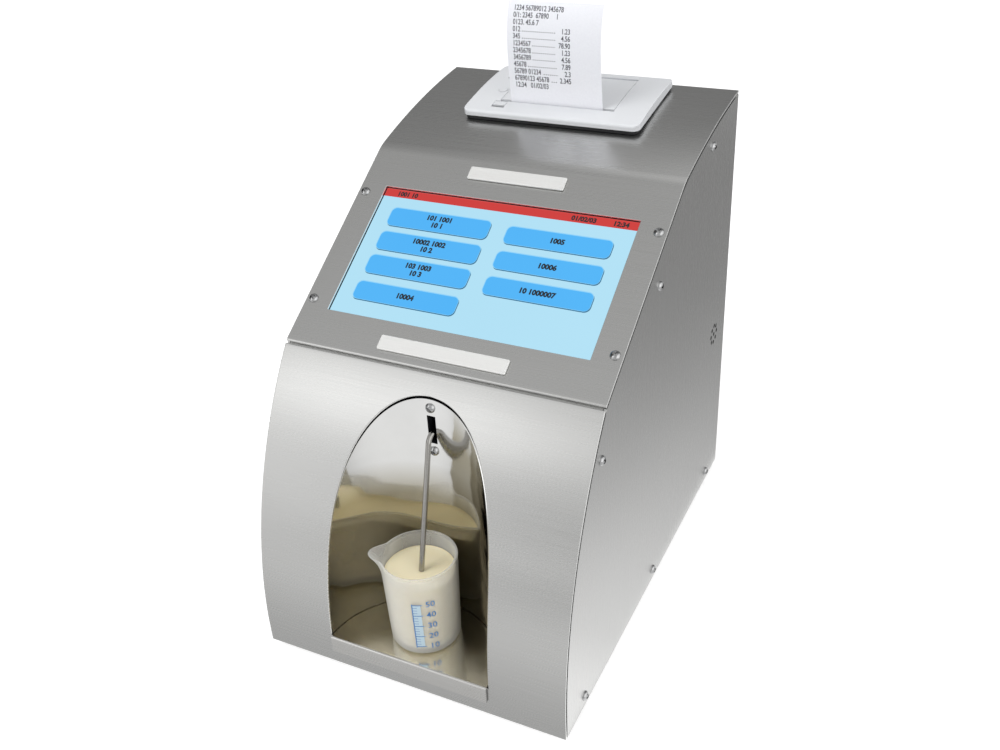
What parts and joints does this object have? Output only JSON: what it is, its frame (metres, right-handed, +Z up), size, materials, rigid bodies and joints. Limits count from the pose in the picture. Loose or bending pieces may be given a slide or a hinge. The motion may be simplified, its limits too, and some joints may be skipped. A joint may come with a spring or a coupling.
{
  "type": "milk analyzer",
  "caption": "Bench-top milk analyzer: folded stainless steel case with a polished cup niche, a swinging sample tube, a touch display on the slanted front and a paper printer on top.",
  "frame": {"origin": "middle of the part's whole box on the table, under the four feet", "axes": "+Z up, the cup niche faces -Y, +X is the viewer's right from the front"},
  "size_m": [0.19, 0.2838, 0.3235],
  "materials": {
    "black_abs": "fine texture",
    "black_rubber": "matt",
    "brushed_stainless": "fine straight grain",
    "clear_polypropylene": "translucent",
    "green_board": "solder mask",
    "milk": "liquid",
    "nickel_plate": "satin nickel",
    "polished_stainless": "mirror polished",
    "silicone_hose": "translucent",
    "thermal_paper": "smooth paper",
    "touch_glass": "clear over a lit display",
    "white_abs": "satin",
    "zinc_plated_screw": "bright zinc"
  },
  "bodies": {
    "case": {"buzzer": "black_abs", "chassis": "brushed_stainless", "display_frame": "black_abs", "display_module": "black_abs", "foot_left_front": "black_rubber", "foot_left_rear": "black_rubber", "foot_right_front": "black_rubber", "foot_right_rear": "black_rubber", "front_cover": "brushed_stainless", "intake_hose": "silicone_hose", "lower_plate": "brushed_stainless", "main_board": "green_board", "measuring_cell": "brushed_stainless", "niche_floor": "polished_stainless", "niche_liner": "polished_stainless", "niche_screw_high": "zinc_plated_screw", "niche_screw_low": "zinc_plated_screw", "panel_screw_left_high": "zinc_plated_screw", "panel_screw_left_low": "zinc_plated_screw", "panel_screw_right_high": "zinc_plated_screw", "panel_screw_right_low": "zinc_plated_screw", "paper_strip": "thermal_paper", "power_inlet": "black_abs", "power_supply": "nickel_plate", "printer_body": "white_abs", "printer_gasket": "black_rubber", "probe_socket": "nickel_plate", "pump_head": "black_abs", "pump_hose": "silicone_hose", "pump_motor": "nickel_plate", "side_panel_left": "brushed_stainless", "side_panel_right": "brushed_stainless", "side_screw_left_front": "zinc_plated_screw", "side_screw_left_low_front": "zinc_plated_screw", "side_screw_left_low_middle": "zinc_plated_screw", "side_screw_left_low_rear": "zinc_plated_screw", "side_screw_left_rear": "zinc_plated_screw", "side_screw_left_slant": "zinc_plated_screw", "side_screw_right_front": "zinc_plated_screw", "side_screw_right_low_front": "zinc_plated_screw", "side_screw_right_low_middle": "zinc_plated_screw", "side_screw_right_low_rear": "zinc_plated_screw", "side_screw_right_rear": "zinc_plated_screw", "side_screw_right_slant": "zinc_plated_screw", "touch_glass": "touch_glass", "tube_bracket": "black_abs", "upper_cover": "brushed_stainless", "upper_plate": "brushed_stainless"},
    "tube": {"sample_tube": "polished_stainless", "tube_block": "black_abs"},
    "cup": {"beaker": "clear_polypropylene", "milk": "milk"},
    "lid": {"printer_lid": "white_abs"},
    "platen": {"platen_roller": "black_rubber"},
    "roll": {"paper_roll": "thermal_paper"},
    "latch": {"lid_latch": "white_abs"},
    "button": {"feed_button": "white_abs"},
    "rotor": {"pump_rotor": "white_abs"},
    "rocker": {"rocker_switch": "black_abs"},
    "fuse": {"fuse_drawer": "black_abs"}
  },
  "joints": [
    {"name": "tube_swing", "type": "hinge", "parent": "case", "child": "tube", "pos_m": [0, -0.0774, 0.14396], "axis": [-1, 0, 0], "range_deg": [0, 25], "deforming": ["milk", "intake_hose"]},
    {"name": "cup_lift", "type": "slide", "parent": "case", "child": "cup", "axis": [0, 0, 1], "range_m": [0, 0.01], "deforming": ["milk"]},
    {"name": "lid_hinge", "type": "hinge", "parent": "case", "child": "lid", "pos_m": [0, 0.11765, 0.27023], "axis": [-1, 0, 0], "range_deg": [0, 80]},
    {"name": "platen_spin", "type": "hinge", "parent": "lid", "child": "platen", "pos_m": [0, 0.08238, 0.25954], "axis": [-1, 0, 0], "continuous": true},
    {"name": "roll_spin", "type": "hinge", "parent": "case", "child": "roll", "pos_m": [0, 0.10116, 0.24497], "axis": [-1, 0, 0], "continuous": true},
    {"name": "latch_hinge", "type": "hinge", "parent": "case", "child": "latch", "pos_m": [-0.0345, 0.07537, 0.26487], "axis": [-1, 0, 0], "range_deg": [0, 25], "stiffness_Nm_per_rad": 0.01},
    {"name": "button_press", "type": "slide", "parent": "case", "child": "button", "axis": [0, 0.1547, -0.988], "range_m": [0, 0.0012], "stiffness_N_per_m": 400},
    {"name": "pump_spin", "type": "hinge", "parent": "case", "child": "rotor", "pos_m": [-0.048, 0.0243, 0.0265], "axis": [0, 1, 0], "continuous": true},
    {"name": "rocker_tilt", "type": "hinge", "parent": "case", "child": "rocker", "pos_m": [0.05, 0.1289, 0.121], "axis": [-1, 0, 0], "range_deg": [0, 20]},
    {"name": "fuse_slide", "type": "slide", "parent": "case", "child": "fuse", "axis": [0, 1, 0], "range_m": [0, 0.012]}
  ],
  "couplings": [
    {"joint": "platen_spin", "follows": "roll_spin", "ratio": 4.1667}
  ]
}
